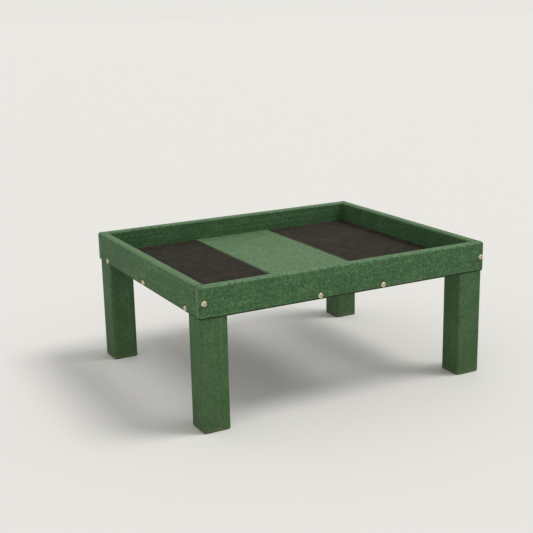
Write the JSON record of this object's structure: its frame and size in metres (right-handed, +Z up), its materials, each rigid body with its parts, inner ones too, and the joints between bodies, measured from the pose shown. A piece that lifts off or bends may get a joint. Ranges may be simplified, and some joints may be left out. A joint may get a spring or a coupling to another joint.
{
  "type": "ground platform bird feeder",
  "caption": "Low open tray of green plastic lumber on short square legs, floored by a plank between lift-out wire screens, for feeding birds on the ground.",
  "frame": {"origin": "on the ground, under the middle of the tray", "axes": "+X along the front rail to the right, +Y from the front to the back, +Z up"},
  "size_m": [0.4368, 0.3604, 0.1886],
  "materials": {
    "green_lumber": "recycled polyethylene lumber, forest green, matt with a fine mottle",
    "black_mesh": "woven steel wire with a black coating, dulled by dust",
    "screw_steel": "plated steel, slightly yellowed"
  },
  "bodies": {
    "frame": {"front_rail": "green_lumber", "back_rail": "green_lumber", "left_rail": "green_lumber", "right_rail": "green_lumber", "left_cleat": "green_lumber", "right_cleat": "green_lumber", "centre_plank": "green_lumber", "front_left_leg": "green_lumber", "front_right_leg": "green_lumber", "back_left_leg": "green_lumber", "back_right_leg": "green_lumber", "corner_screws": "screw_steel", "plank_screws": "screw_steel", "cleat_screws": "screw_steel", "leg_screws": "screw_steel"},
    "left_screen_panel": {"left_screen": "black_mesh"},
    "right_screen_panel": {"right_screen": "black_mesh"}
  },
  "joints": [
    {"name": "left_screen_lift", "type": "slide", "parent": "frame", "child": "left_screen_panel", "axis": [0, 0, 1], "range_m": [0, 0.06]},
    {"name": "right_screen_lift", "type": "slide", "parent": "frame", "child": "right_screen_panel", "axis": [0, 0, 1], "range_m": [0, 0.06]}
  ]
}
